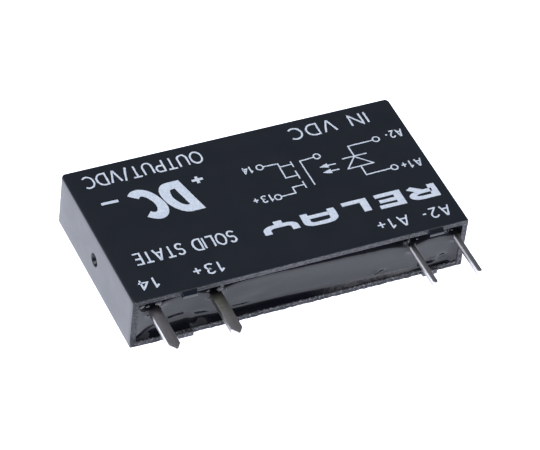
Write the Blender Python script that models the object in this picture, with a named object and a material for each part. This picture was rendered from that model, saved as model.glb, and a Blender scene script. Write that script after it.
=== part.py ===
"""Slim solid state relay for a circuit board, with its row of four pins.

A shallow plastic case, open along one long side, holds a small circuit board.
The board lies against the case's marked face, its parts hang below it, and
black potting fills everything up to just inside the open rim. Two wide output
pins and two narrow input pins leave through the potting. Nothing moves.

The relay lies on its plain face. +Z points out of the marked face, X runs
along the case and the pins point along -Y. The origin is the centre of the
plain face. Lengths are in metres.
"""
import math

import bmesh
import bpy
from mathutils import Matrix, Vector

MM = 0.001

# Case
CASE_LENGTH = 28.0 * MM
CASE_THICKNESS = 4.8 * MM
CLOSED_END_Y = 7.5 * MM
FEET_Y = -7.5 * MM
FOOT_HEIGHT = 0.4 * MM
FOOT_WIDTH = 1.2 * MM
FOOT_CENTRES_X = (-9.5 * MM, 11.1 * MM)
WALL = 0.5 * MM
CLOSED_END_WALL = 0.6 * MM
CASE_EDGE_RADIUS = 0.2 * MM
GATE_MARK_RADIUS = 0.62 * MM
GATE_MARK_DEPTH = 0.15 * MM
GATE_MARK_Y = 0.2 * MM
GATE_MARK_Z = 2.4 * MM

# Gap that neighbouring pieces keep, and the room round a potted piece
FIT_GAP = 0.03 * MM
POCKET_GAP = 0.04 * MM

# Potting
POTTING_RECESS = 0.45 * MM

# Circuit board
BOARD_THICKNESS = 0.8 * MM
BOARD_END_GAP = 0.08 * MM
BOARD_TOP_GAP = 0.07 * MM
BOARD_FRONT_Y = -6.2 * MM
BOARD_BACK_Y = 6.6 * MM
BOARD_CORNER = 0.4 * MM

# Pins: pitch 5.04, 16.38 and 3.78, the first one 1.9 from the case's end
FIRST_PIN_FROM_END = 1.9 * MM
PIN_STEPS = (0.0, 5.04 * MM, 16.38 * MM, 3.78 * MM)
PIN_NAMES = ("pin_14", "pin_13_plus", "pin_a1_plus", "pin_a2_minus")
PIN_REACH = 3.75 * MM
PIN_THICKNESS = 0.5 * MM
PIN_INNER_Y = -4.1 * MM
PIN_EDGE = 0.03 * MM
OUTPUT_PIN_WIDTH = 0.93 * MM
OUTPUT_TIP_LENGTH = 0.5 * MM
OUTPUT_TIP_WIDTH = 0.16 * MM
INPUT_PIN_WIDTH = 0.4 * MM
INPUT_TIP_LENGTH = 0.12 * MM
INPUT_TIP_WIDTH = 0.2 * MM

# Solder joints
SOLDER_MARGIN = 0.45 * MM
SOLDER_HALF_LENGTH = 0.9 * MM
SOLDER_HEIGHT = 0.85 * MM
SOLDER_CENTRE_Y = -5.05 * MM

# Parts on the board, each in its own frame: X along it, +Z away from the board
POWER_BODY = {"length": 6.1 * MM, "width": 6.6 * MM, "base": 0.0, "top": 2.3 * MM}
POWER_LEAD = {"width": 0.76 * MM, "thickness": 0.5 * MM, "exit": 1.0 * MM,
              "shoulder": 0.7 * MM, "reach": 2.7 * MM}
POWER_LEAD_Y = 2.285 * MM
TAB_WIDTH = 5.2 * MM
TAB_THICKNESS = 0.5 * MM
TAB_REACH = 1.05 * MM
TAB_INSIDE = 3.9 * MM
COUPLER_BODY = {"length": 4.4 * MM, "width": 3.6 * MM, "base": 0.1 * MM, "top": 2.1 * MM}
COUPLER_LEAD = {"width": 0.4 * MM, "thickness": 0.2 * MM, "exit": 1.1 * MM,
                "shoulder": 0.45 * MM, "reach": 1.3 * MM}
COUPLER_LEAD_Y = 1.27 * MM
DRIVER_BODY = {"length": 1.3 * MM, "width": 2.9 * MM, "base": 0.05 * MM, "top": 1.05 * MM}
DRIVER_LEAD = {"width": 0.4 * MM, "thickness": 0.13 * MM, "exit": 0.55 * MM,
               "shoulder": 0.2 * MM, "reach": 0.55 * MM}
DRIVER_LEAD_Y = 0.95 * MM
REVERSE_BODY = {"length": 2.7 * MM, "width": 1.6 * MM, "base": 0.05 * MM, "top": 1.15 * MM}
REVERSE_LEAD = {"width": 0.55 * MM, "thickness": 0.13 * MM, "exit": 0.6 * MM,
                "shoulder": 0.2 * MM, "reach": 0.5 * MM}
CLAMP_BODY = {"length": 4.3 * MM, "width": 2.6 * MM, "base": 0.25 * MM, "top": 2.3 * MM}
CLAMP_LEAD_WIDTH = 1.45 * MM
CLAMP_LEAD_THICKNESS = 0.2 * MM
CLAMP_LEAD_REACH = 0.3 * MM
CLAMP_LEAD_FOOT = 1.0 * MM
CHIP_1206 = {"length": 3.2 * MM, "width": 1.6 * MM, "height": 0.6 * MM, "cap": 0.45 * MM}
CHIP_0805 = {"length": 2.0 * MM, "width": 1.25 * MM, "height": 0.5 * MM, "cap": 0.35 * MM}
CHIP_CAPACITOR = {"length": 2.0 * MM, "width": 1.25 * MM, "height": 1.25 * MM, "cap": 0.4 * MM}
CHIP_STEP = 0.03 * MM
MOULD_DRAFT = 0.12 * MM
MOULD_EDGE = 0.05 * MM

# Where each part sits on the board: x, y and turn about +Z
POWER_PLACE = (-7.6 * MM, 2.3 * MM, 0.0)
COUPLER_PLACE = (3.9 * MM, 2.4 * MM, 0.0)
DRIVER_PLACE = (-2.6 * MM, -2.9 * MM, math.pi / 2)
REVERSE_PLACE = (10.3 * MM, 3.0 * MM, 0.0)
CLAMP_PLACE = (-9.6 * MM, -2.5 * MM, 0.0)
GATE_RESISTOR_PLACE = (-0.9 * MM, 4.6 * MM, math.pi / 2)
PULL_DOWN_PLACE = (-0.9 * MM, 0.2 * MM, math.pi / 2)
INPUT_RESISTOR_PLACES = ((9.3 * MM, -1.6 * MM, math.pi / 2), (11.7 * MM, -1.6 * MM, math.pi / 2))
CAPACITOR_PLACE = (4.6 * MM, -2.6 * MM, 0.0)

# Colours: linear red, green, blue
CASE_BLACK = (0.014, 0.017, 0.026)
POTTING_BLACK = (0.01, 0.011, 0.014)
BOARD_GREEN = (0.03, 0.11, 0.05)
TIN = (0.52, 0.51, 0.5)
SOLDER_GREY = (0.46, 0.47, 0.48)
MOULD_BLACK = (0.018, 0.018, 0.02)
CERAMIC_WHITE = (0.62, 0.6, 0.55)
CERAMIC_TAN = (0.42, 0.27, 0.15)

# Worked out from the dimensions above
RIM_Y = FEET_Y + FOOT_HEIGHT
INNER_HALF_LENGTH = CASE_LENGTH / 2 - WALL
INNER_BACK_Y = CLOSED_END_Y - CLOSED_END_WALL
INNER_TOP_Z = CASE_THICKNESS - WALL
BOARD_TOP_Z = INNER_TOP_Z - BOARD_TOP_GAP
BOARD_UNDER_Z = BOARD_TOP_Z - BOARD_THICKNESS
POTTING_FRONT_Y = RIM_Y + POTTING_RECESS
PIN_TIP_Y = FEET_Y - PIN_REACH
PIN_TOP_Z = BOARD_UNDER_Z - FIT_GAP


# ---------------------------------------------------------------- helpers

def clear_scene():
    """Start from an empty scene."""
    for obj in list(bpy.data.objects):
        bpy.data.objects.remove(obj, do_unlink=True)


def make_material(name, colour, roughness, metallic=0.0):
    """Plain Principled BSDF finish."""
    material = bpy.data.materials.new(name)
    material.use_nodes = True
    shader = material.node_tree.nodes["Principled BSDF"]
    shader.inputs["Base Color"].default_value = (*colour, 1.0)
    shader.inputs["Roughness"].default_value = roughness
    shader.inputs["Metallic"].default_value = metallic
    material.diffuse_color = (*colour, 1.0)
    return material


def make_object(name, bm, material=None, parent=None):
    """Turn a bmesh into a named object and return it."""
    bmesh.ops.recalc_face_normals(bm, faces=bm.faces)
    mesh = bpy.data.meshes.new(name)
    bm.to_mesh(mesh)
    bm.free()
    if material is not None:
        mesh.materials.append(material)
    obj = bpy.data.objects.new(name, mesh)
    obj.parent = parent
    bpy.context.scene.collection.objects.link(obj)
    return obj


def add_box(bm, low, high):
    """Add an axis-aligned box between two corners."""
    low = Vector(low)
    high = Vector(high)
    size = high - low
    place = Matrix.Translation((low + high) / 2) @ Matrix.Diagonal((*size, 1.0))
    return bmesh.ops.create_cube(bm, size=1.0, matrix=place)["verts"]


def box_object(name, low, high, material=None, parent=None):
    """A single box as an object."""
    bm = bmesh.new()
    add_box(bm, low, high)
    return make_object(name, bm, material, parent)


def add_prism(bm, outline, direction):
    """Extrude a closed outline of points along a direction."""
    verts = [bm.verts.new(point) for point in outline]
    face = bm.faces.new(verts)
    grown = bmesh.ops.extrude_face_region(bm, geom=[face])["geom"]
    moved = [item for item in grown if isinstance(item, bmesh.types.BMVert)]
    bmesh.ops.translate(bm, verts=moved, vec=direction)


def round_edges(obj, width, segments=1):
    """Round the sharp edges of an object with a Bevel modifier."""
    bevel = obj.modifiers.new("rounded_edges", "BEVEL")
    bevel.width = width
    bevel.segments = segments
    bevel.limit_method = "ANGLE"
    bevel.angle_limit = math.radians(30)


def hide_cutter(cutter):
    """Mark an object as a cutter, not a piece of the relay."""
    cutter.hide_render = True
    cutter.display_type = "WIRE"


def cut(obj, cutter, overlapping=False):
    """Subtract a cutter from an object with a Boolean modifier."""
    hide_cutter(cutter)
    boolean = obj.modifiers.new(cutter.name, "BOOLEAN")
    boolean.operation = "DIFFERENCE"
    boolean.solver = "EXACT"
    boolean.use_self = overlapping
    boolean.object = cutter


def smooth(obj, angle=40):
    """Shade a piece smooth, with creases kept sharp."""
    obj.data.shade_smooth()
    obj.data.set_sharp_from_angle(angle=math.radians(angle))


# ---------------------------------------------------------------- case

def build_case(material):
    """Thin shell, open at the pin side, with four small standoff feet."""
    bm = bmesh.new()
    half = CASE_LENGTH / 2
    add_box(bm, (-half, FEET_Y, 0), (half, CLOSED_END_Y, CASE_THICKNESS))
    mouth = FEET_Y + CASE_EDGE_RADIUS
    outer_edges = [e for e in bm.edges if max(v.co.y for v in e.verts) > mouth]
    bmesh.ops.bevel(bm, geom=outer_edges, offset=CASE_EDGE_RADIUS, segments=3,
                    profile=0.5, affect="EDGES")
    case = make_object("housing", bm, material)
    cut(case, case_cavity())
    cut(case, case_rim_relief())
    cut(case, case_gate_mark())
    smooth(case)
    return case


def case_cavity():
    """Room inside the walls, open past the rim."""
    low = (-INNER_HALF_LENGTH, FEET_Y - WALL, WALL)
    high = (INNER_HALF_LENGTH, INNER_BACK_Y, INNER_TOP_Z)
    return box_object("cut_case_cavity", low, high)


def case_rim_relief():
    """What is taken off the rim so that only the feet stand proud."""
    bm = bmesh.new()
    start = -CASE_LENGTH
    stops = [x - FOOT_WIDTH / 2 for x in FOOT_CENTRES_X] + [CASE_LENGTH]
    for stop in stops:
        add_box(bm, (start, FEET_Y - WALL, -WALL), (stop, RIM_Y, CASE_THICKNESS + WALL))
        start = stop + FOOT_WIDTH
    return make_object("cut_case_rim", bm)


def case_gate_mark():
    """Shallow round mark that moulding leaves on the end face."""
    bm = bmesh.new()
    turn = Matrix.Rotation(math.pi / 2, 4, "Y")
    centre = Vector((-CASE_LENGTH / 2, GATE_MARK_Y, GATE_MARK_Z))
    bmesh.ops.create_cone(bm, cap_ends=True, segments=32, radius1=GATE_MARK_RADIUS,
                          radius2=GATE_MARK_RADIUS, depth=2 * GATE_MARK_DEPTH,
                          matrix=Matrix.Translation(centre) @ turn)
    return make_object("cut_gate_mark", bm)


# ---------------------------------------------------------------- board and pins

def build_board(material):
    """Circuit board that lies against the case's marked face."""
    bm = bmesh.new()
    half = INNER_HALF_LENGTH - BOARD_END_GAP
    add_box(bm, (-half, BOARD_FRONT_Y, BOARD_UNDER_Z), (half, BOARD_BACK_Y, BOARD_TOP_Z))
    corners = [e for e in bm.edges if e.verts[0].co.xy == e.verts[1].co.xy]
    bmesh.ops.bevel(bm, geom=corners, offset=BOARD_CORNER, segments=1, affect="EDGES")
    return make_object("circuit_board", bm, material)


def pin_centres():
    """X of each pin, counted from the case's end."""
    x = -CASE_LENGTH / 2 + FIRST_PIN_FROM_END
    centres = []
    for step in PIN_STEPS:
        x += step
        centres.append(x)
    return centres


def build_pin(name, x, width, tip_length, tip_width, material):
    """Flat blade that narrows to a blunt point."""
    shoulder_y = PIN_TIP_Y + tip_length
    half = width / 2
    tip = tip_width / 2
    outline = (
        (x - half, PIN_INNER_Y, PIN_TOP_Z),
        (x - half, shoulder_y, PIN_TOP_Z),
        (x - tip, PIN_TIP_Y, PIN_TOP_Z),
        (x + tip, PIN_TIP_Y, PIN_TOP_Z),
        (x + half, shoulder_y, PIN_TOP_Z),
        (x + half, PIN_INNER_Y, PIN_TOP_Z),
    )
    bm = bmesh.new()
    add_prism(bm, outline, (0, 0, -PIN_THICKNESS))
    pin = make_object(name, bm, material)
    round_edges(pin, PIN_EDGE)
    return pin


def build_solder(name, x, pin_width, material):
    """Rounded lump of solder that holds a pin to its pad."""
    bm = bmesh.new()
    half_width = min(pin_width / 2 + SOLDER_MARGIN, INNER_HALF_LENGTH - abs(x) - POCKET_GAP)
    size = Matrix.Diagonal((half_width, SOLDER_HALF_LENGTH, SOLDER_HEIGHT, 1.0))
    centre = Vector((x, SOLDER_CENTRE_Y, PIN_TOP_Z))
    bmesh.ops.create_uvsphere(bm, u_segments=24, v_segments=14, radius=1.0,
                              matrix=Matrix.Translation(centre) @ size)
    solder = make_object(name, bm, material)
    cut(solder, solder_cutter(name, x, half_width, pin_width), overlapping=True)
    smooth(solder)
    return solder


def solder_cutter(name, x, half_width, pin_width):
    """Everything above the pad, and the room for the pin."""
    bm = bmesh.new()
    reach = 2 * SOLDER_HALF_LENGTH
    channel = pin_width / 2 + FIT_GAP
    bottom = PIN_TOP_Z - PIN_THICKNESS - FIT_GAP
    back = PIN_INNER_Y + FIT_GAP
    low_y = SOLDER_CENTRE_Y - reach
    add_box(bm, (x - 2 * half_width, low_y, PIN_TOP_Z),
            (x + 2 * half_width, SOLDER_CENTRE_Y + reach, PIN_TOP_Z + 2 * SOLDER_HEIGHT))
    add_box(bm, (x - channel, low_y, bottom), (x + channel, back, PIN_TOP_Z + SOLDER_HEIGHT))
    return make_object("cut_" + name, bm)


def build_pins(tin, solder):
    """The two wide output pins and the two narrow input pins, each soldered."""
    pieces = []
    for number, (name, x) in enumerate(zip(PIN_NAMES, pin_centres())):
        if number < 2:
            shape = (OUTPUT_PIN_WIDTH, OUTPUT_TIP_LENGTH, OUTPUT_TIP_WIDTH)
        else:
            shape = (INPUT_PIN_WIDTH, INPUT_TIP_LENGTH, INPUT_TIP_WIDTH)
        pieces.append(build_pin(name, x, *shape, tin))
        pieces.append(build_solder(name.replace("pin", "solder"), x, shape[0], solder))
    return pieces


# ---------------------------------------------------------------- board parts

def part_frame(name, place):
    """Empty under the board, turned over so that its +Z points away from it."""
    x, y, turn = place
    frame = bpy.data.objects.new(name + "_frame", None)
    frame.location = (x, y, PIN_TOP_Z)
    frame.rotation_euler = (math.pi, 0.0, turn)
    frame.empty_display_size = 2 * MM
    bpy.context.scene.collection.objects.link(frame)
    return frame


def build_moulded_body(name, size, material, frame):
    """Plastic body that narrows from its parting line to both faces."""
    bm = bmesh.new()
    middle = (size["base"] + size["top"]) / 2
    rings = []
    for z, inset in ((size["base"], MOULD_DRAFT), (middle, 0.0), (size["top"], MOULD_DRAFT)):
        x = size["length"] / 2 - inset
        y = size["width"] / 2 - inset
        corners = ((-x, -y, z), (x, -y, z), (x, y, z), (-x, y, z))
        rings.append([bm.verts.new(corner) for corner in corners])
    close_rings(bm, rings)
    body = make_object(name, bm, material, frame)
    round_edges(body, MOULD_EDGE)
    return body


def close_rings(bm, rings):
    """Join rings of corners into one closed surface."""
    for lower, upper in zip(rings, rings[1:]):
        for here in range(len(lower)):
            after = (here + 1) % len(lower)
            bm.faces.new((lower[here], lower[after], upper[after], upper[here]))
    bm.faces.new(rings[0])
    bm.faces.new(rings[-1])


def build_strip(name, path, thickness, width, y, material, frame):
    """Flat metal strip bent along a path of x and z, its corners mitred."""
    points = [Vector(point) for point in path]
    near = []
    far = []
    for index, point in enumerate(points):
        before = points[max(index, 1)] - points[max(index, 1) - 1]
        ahead = min(index + 1, len(points) - 1)
        after = points[ahead] - points[ahead - 1]
        middle = (before.normalized() + after.normalized()).normalized()
        offset = thickness / 2 / middle.dot(after.normalized())
        side = Vector((-middle.y, middle.x)) * offset
        near.append(point + side)
        far.append(point - side)
    outline = [(p.x, y - width / 2, p.y) for p in near + far[::-1]]
    bm = bmesh.new()
    add_prism(bm, outline, (0, width, 0))
    return make_object(name, bm, material, frame)


def build_gull_lead(name, body, lead, side, y, material, frame):
    """Lead that leaves the body, steps down and ends in a flat foot."""
    start = body["length"] / 2 + FIT_GAP
    knee = start + lead["shoulder"]
    foot = lead["thickness"] / 2
    path = (
        (side * start, lead["exit"]),
        (side * knee, lead["exit"]),
        (side * (knee + lead["thickness"] / 2), foot),
        (side * (body["length"] / 2 + lead["reach"]), foot),
    )
    return build_strip(name, path, lead["thickness"], lead["width"], y, material, frame)


def build_chip(name, size, place, material):
    """Chip part: a ceramic block with a metal cap on each end."""
    frame = part_frame(name, place)
    end = size["length"] / 2
    inner = end - size["cap"]
    sections = ((-end, 0.0), (-inner, 0.0), (-inner, CHIP_STEP),
                (inner, CHIP_STEP), (inner, 0.0), (end, 0.0))
    bm = bmesh.new()
    rings = []
    for x, inset in sections:
        y = size["width"] / 2 - inset
        top = size["height"] - inset
        corners = ((x, -y, inset), (x, y, inset), (x, y, top), (x, -y, top))
        rings.append([bm.verts.new(corner) for corner in corners])
    close_rings(bm, rings)
    return make_object(name, bm, material, frame)


def build_power_transistor(mould, tin):
    """Output switch: moulded body, drain tab against the board and two leads."""
    frame = part_frame("mosfet", POWER_PLACE)
    body = build_moulded_body("mosfet_body", POWER_BODY, mould, frame)
    end = -POWER_BODY["length"] / 2
    half = TAB_WIDTH / 2
    slot = box_object("cut_mosfet_tab", (end - TAB_REACH, -half - FIT_GAP, -TAB_THICKNESS),
                      (end + TAB_INSIDE + FIT_GAP, half + FIT_GAP, TAB_THICKNESS + FIT_GAP),
                      parent=frame)
    cut(body, slot)
    tab = box_object("mosfet_drain_tab", (end - TAB_REACH, -half, 0.0),
                     (end + TAB_INSIDE, half, TAB_THICKNESS), tin, frame)
    round_edges(tab, MOULD_EDGE)
    gate = build_gull_lead("mosfet_gate_lead", POWER_BODY, POWER_LEAD, 1,
                           -POWER_LEAD_Y, tin, frame)
    source = build_gull_lead("mosfet_source_lead", POWER_BODY, POWER_LEAD, 1,
                             POWER_LEAD_Y, tin, frame)
    return [body, tab, gate, source]


def build_coupler(mould, tin):
    """Optocoupler that carries the signal across the isolation gap."""
    frame = part_frame("coupler", COUPLER_PLACE)
    pieces = [build_moulded_body("coupler_body", COUPLER_BODY, mould, frame)]
    leads = (("coupler_lead_anode", 1, -1), ("coupler_lead_cathode", 1, 1),
             ("coupler_lead_collector", -1, -1), ("coupler_lead_emitter", -1, 1))
    for name, side, row in leads:
        pieces.append(build_gull_lead(name, COUPLER_BODY, COUPLER_LEAD, side,
                                      row * COUPLER_LEAD_Y, tin, frame))
    return pieces


def build_driver(mould, tin):
    """Small three-lead transistor that turns the output switch off."""
    frame = part_frame("driver", DRIVER_PLACE)
    pieces = [build_moulded_body("driver_body", DRIVER_BODY, mould, frame)]
    leads = (("driver_lead_base", 1, -1), ("driver_lead_emitter", 1, 1),
             ("driver_lead_collector", -1, 0))
    for name, side, row in leads:
        pieces.append(build_gull_lead(name, DRIVER_BODY, DRIVER_LEAD, side,
                                      row * DRIVER_LEAD_Y, tin, frame))
    return pieces


def build_reverse_diode(mould, tin):
    """Input diode that blocks a reversed supply."""
    frame = part_frame("reverse_diode", REVERSE_PLACE)
    pieces = [build_moulded_body("reverse_diode_body", REVERSE_BODY, mould, frame)]
    for name, side in (("reverse_diode_lead_inner", -1), ("reverse_diode_lead_outer", 1)):
        pieces.append(build_gull_lead(name, REVERSE_BODY, REVERSE_LEAD, side, 0.0, tin, frame))
    return pieces


def build_clamp_diode(mould, tin):
    """Output clamp diode, whose strips fold back under its body."""
    frame = part_frame("clamp_diode", CLAMP_PLACE)
    pieces = [build_moulded_body("clamp_diode_body", CLAMP_BODY, mould, frame)]
    end = CLAMP_BODY["length"] / 2
    middle = (CLAMP_BODY["base"] + CLAMP_BODY["top"]) / 2
    foot = CLAMP_LEAD_THICKNESS / 2
    for name, side in (("clamp_diode_strip_14", -1), ("clamp_diode_strip_13", 1)):
        path = (
            (side * (end + FIT_GAP), middle),
            (side * (end + CLAMP_LEAD_REACH), middle),
            (side * (end + CLAMP_LEAD_REACH), foot),
            (side * (end - CLAMP_LEAD_FOOT), foot),
        )
        pieces.append(build_strip(name, path, CLAMP_LEAD_THICKNESS, CLAMP_LEAD_WIDTH,
                                  0.0, tin, frame))
    return pieces


def build_chips(white, tan):
    """Chip resistors and the input capacitor."""
    pieces = [
        build_chip("gate_resistor", CHIP_0805, GATE_RESISTOR_PLACE, white),
        build_chip("pull_down_resistor", CHIP_0805, PULL_DOWN_PLACE, white),
        build_chip("input_capacitor", CHIP_CAPACITOR, CAPACITOR_PLACE, tan),
    ]
    for letter, place in zip("ab", INPUT_RESISTOR_PLACES):
        pieces.append(build_chip("input_resistor_" + letter, CHIP_1206, place, white))
    return pieces


# ---------------------------------------------------------------- potting

def build_potting(material, potted):
    """Cast block round the board and its parts, open where the board lies."""
    low = (-INNER_HALF_LENGTH + FIT_GAP, POTTING_FRONT_Y, WALL + FIT_GAP)
    high = (INNER_HALF_LENGTH - FIT_GAP, INNER_BACK_Y - FIT_GAP, INNER_TOP_Z - FIT_GAP)
    potting = box_object("potting_compound", low, high, material)
    board_room = box_object(
        "cut_board_room",
        (-CASE_LENGTH, BOARD_FRONT_Y - FIT_GAP, BOARD_UNDER_Z - FIT_GAP),
        (CASE_LENGTH, BOARD_BACK_Y + FIT_GAP, CASE_THICKNESS + WALL))
    cut(potting, board_room)
    cut(potting, potting_pockets(potted), overlapping=True)
    return potting


def potting_pockets(potted):
    """Room for each potted piece, open towards the board."""
    bpy.context.view_layer.update()
    bm = bmesh.new()
    margin = Vector((POCKET_GAP, POCKET_GAP, POCKET_GAP))
    for piece in potted:
        corners = [piece.matrix_world @ Vector(corner) for corner in piece.bound_box]
        low = Vector([min(corner[axis] for corner in corners) for axis in range(3)]) - margin
        high = Vector([max(corner[axis] for corner in corners) for axis in range(3)]) + margin
        high.z = BOARD_UNDER_Z
        add_box(bm, low, high)
    return make_object("cut_potting_pockets", bm)


# ---------------------------------------------------------------- assembly

def build_relay():
    """Build every piece of the relay."""
    clear_scene()
    tin = make_material("tinned_copper", TIN, 0.42, 0.9)
    mould = make_material("moulded_body", MOULD_BLACK, 0.6)
    build_case(make_material("case_plastic", CASE_BLACK, 0.45))
    build_board(make_material("board_laminate", BOARD_GREEN, 0.5))
    potted = build_pins(tin, make_material("solder", SOLDER_GREY, 0.3, 0.9))
    potted += build_power_transistor(mould, tin)
    potted += build_coupler(mould, tin)
    potted += build_driver(mould, tin)
    potted += build_reverse_diode(mould, tin)
    potted += build_clamp_diode(mould, tin)
    potted += build_chips(make_material("chip_ceramic", CERAMIC_WHITE, 0.5),
                          make_material("capacitor_ceramic", CERAMIC_TAN, 0.5))
    build_potting(make_material("potting", POTTING_BLACK, 0.2), potted)


build_relay()
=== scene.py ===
import math

import bmesh
import bpy
import numpy as np
from mathutils import Matrix, Vector


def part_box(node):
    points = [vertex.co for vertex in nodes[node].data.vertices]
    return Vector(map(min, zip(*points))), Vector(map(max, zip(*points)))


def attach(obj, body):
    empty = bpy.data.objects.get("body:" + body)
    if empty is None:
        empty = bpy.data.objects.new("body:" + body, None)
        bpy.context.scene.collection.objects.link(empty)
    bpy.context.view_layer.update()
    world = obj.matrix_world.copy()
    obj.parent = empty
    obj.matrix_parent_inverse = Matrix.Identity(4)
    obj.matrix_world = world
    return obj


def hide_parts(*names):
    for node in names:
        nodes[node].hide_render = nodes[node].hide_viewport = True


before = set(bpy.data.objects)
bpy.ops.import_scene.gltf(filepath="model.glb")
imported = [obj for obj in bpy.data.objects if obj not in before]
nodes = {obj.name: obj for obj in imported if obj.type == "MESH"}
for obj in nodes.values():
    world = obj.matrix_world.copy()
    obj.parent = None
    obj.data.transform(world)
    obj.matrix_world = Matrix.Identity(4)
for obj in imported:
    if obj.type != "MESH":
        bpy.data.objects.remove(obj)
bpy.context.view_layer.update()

# Slim solid state relay: black case, resin poured into its open side, four tinned pins, pale print.
# Shapes and patterns are worked out in millimetres, and each mesh is scaled to metres as it is made.
mm = 0.001

caseLow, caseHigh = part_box("housing")
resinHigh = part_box("potting_compound")[1]
pinNames = ("pin_14", "pin_13_plus", "pin_a1_plus", "pin_a2_minus")
pinBoxes = {name: [np.array(corner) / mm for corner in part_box(name)] for name in pinNames}
halfLong = caseHigh.x / mm              # the case is centred on x = 0
closedEnd = caseHigh.y / mm             # y of the end away from the pins
thick = caseHigh.z / mm                 # z of the marked face; the plain face lies at z = 0


class Wire:
    # one output socket, so that shader sums read as Python sums; each operator adds its Math node
    def __init__(self, finish, socket):
        self.finish = finish
        self.socket = socket

    def math(self, operation, *others):
        return self.finish.node("ShaderNodeMath", {"operation": operation}, (self, *others))

    def flipped(self, operation, first):
        return self.finish.node("ShaderNodeMath", {"operation": operation}, (first, self))

    def __add__(self, other):
        return self.math("ADD", other)

    def __sub__(self, other):
        return self.math("SUBTRACT", other)

    def __mul__(self, other):
        return self.math("MULTIPLY", other)

    def __radd__(self, first):
        return self.flipped("ADD", first)

    def __rsub__(self, first):
        return self.flipped("SUBTRACT", first)

    def __rmul__(self, first):
        return self.flipped("MULTIPLY", first)


class Finish:
    # a material and the few ways its nodes are made
    def __init__(self, name, **fixed):
        self.material = bpy.data.materials.new(name)
        self.material.use_nodes = True
        self.tree = self.material.node_tree
        self.shader = self.tree.nodes["Principled BSDF"]
        for socket, value in fixed.items():
            self.shader.inputs[socket.replace("_", " ")].default_value = value
        place = self.node("ShaderNodeTexCoord", output="Object")
        self.place = self.node("ShaderNodeVectorMath", {"operation": "SCALE"}, {0: place, "Scale": 1000.0})
        split = self.node("ShaderNodeSeparateXYZ", inputs=(self.place,)).socket.node
        self.x, self.y, self.z = (Wire(self, out) for out in split.outputs)

    def node(self, kind, settings=None, inputs=None, output=0):
        # the settings are set first, then the values or links of the sockets; gives one output
        made = self.tree.nodes.new(kind)
        for name, value in (settings or {}).items():
            setattr(made, name, value)
        pairs = inputs.items() if isinstance(inputs, dict) else enumerate(inputs or ())
        for key, value in pairs:
            if isinstance(value, Wire):
                self.tree.links.new(value.socket, made.inputs[key])
            else:
                made.inputs[key].default_value = value
        return Wire(self, made.outputs[output])

    def drive(self, socket, wire):
        self.tree.links.new(wire.socket, self.shader.inputs[socket])

    def stretch(self, x, y, z):
        # the same place with each axis scaled, for grain that runs one way
        return self.node("ShaderNodeMapping", inputs={0: self.place, "Scale": (x, y, z)})

    def noise(self, perMm, detail=3.0, rough=0.55, place=None):
        inputs = {"Vector": place or self.place, "Scale": perMm, "Detail": detail, "Roughness": rough}
        return self.node("ShaderNodeTexNoise", inputs=inputs)

    def band(self, wire, low, high):
        # 0 below low, 1 above high, eased between
        inputs = {"Value": wire, "From Min": low, "From Max": high}
        return self.node("ShaderNodeMapRange", {"interpolation_type": "SMOOTHSTEP"}, inputs)

    def under(self, wire, low, high):
        # the other way round: 1 below low, 0 above high
        return 1.0 - self.band(wire, low, high)

    def blend(self, share, first, second):
        return self.node("ShaderNodeMix", {"data_type": "RGBA"}, {0: share, 6: first, 7: second}, 2)

    def edges(self, radiusMm):
        # 1 on an edge and 0 on a flat, from how far a rounded normal leaves the true one
        soft = self.node("ShaderNodeBevel", {"samples": 6}, {"Radius": radiusMm * mm})
        true = self.node("ShaderNodeNewGeometry", output="Normal")
        same = self.node("ShaderNodeVectorMath", {"operation": "DOT_PRODUCT"}, (soft, true), "Value")
        return self.band(1.0 - same, 0.01, 0.2)

    def bump(self, height, depthMm, over=None):
        # relief of the given depth, laid over another relief where one is given
        inputs = {"Distance": depthMm * mm, "Height": height}
        if over is not None:
            inputs["Normal"] = over
        return self.node("ShaderNodeBump", inputs=inputs)


def rgb(red, green, blue):
    return (red, green, blue, 1.0)


plasticLook = {
    "base": rgb(0.0055, 0.0085, 0.0155),
    "cloud": rgb(0.008, 0.012, 0.021),      # where the gloss clouds over
    "haze": rgb(0.03, 0.034, 0.043),        # settled dust
    "edge": rgb(0.085, 0.088, 0.095),       # worn edges, and a painted highlight along them
    "rim": rgb(0.12, 0.12, 0.132),          # scuffed and stained rim
    "crumbAndGlint": rgb(0.5, 0.5, 0.52),           # pale crumbs stuck to the rim, and painted highlights along the lower rim
    "rough": 0.34,
    "wearMm": 0.12,             # how far wear and the painted edge highlight reach round an edge
    "rimY": (-7.12, -7.06),     # the wall turns into rim between these
    "footY": (-7.17, -7.13),    # and the rim into foot
    "footZ": (2.2, 2.6),        # above this a foot belongs to the marked wall
    "lowerWallZ": (0.6, 0.9),   # below this the rim belongs to the lower wall
    "cleanZ": (4.2, 4.4),       # the marked wall's rim is half as stained on the side of cleanX
    "cleanX": (-8.5, -5.5),
    "endX": (-13.56, -13.46),   # and the left end's rim a quarter as stained
}


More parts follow.
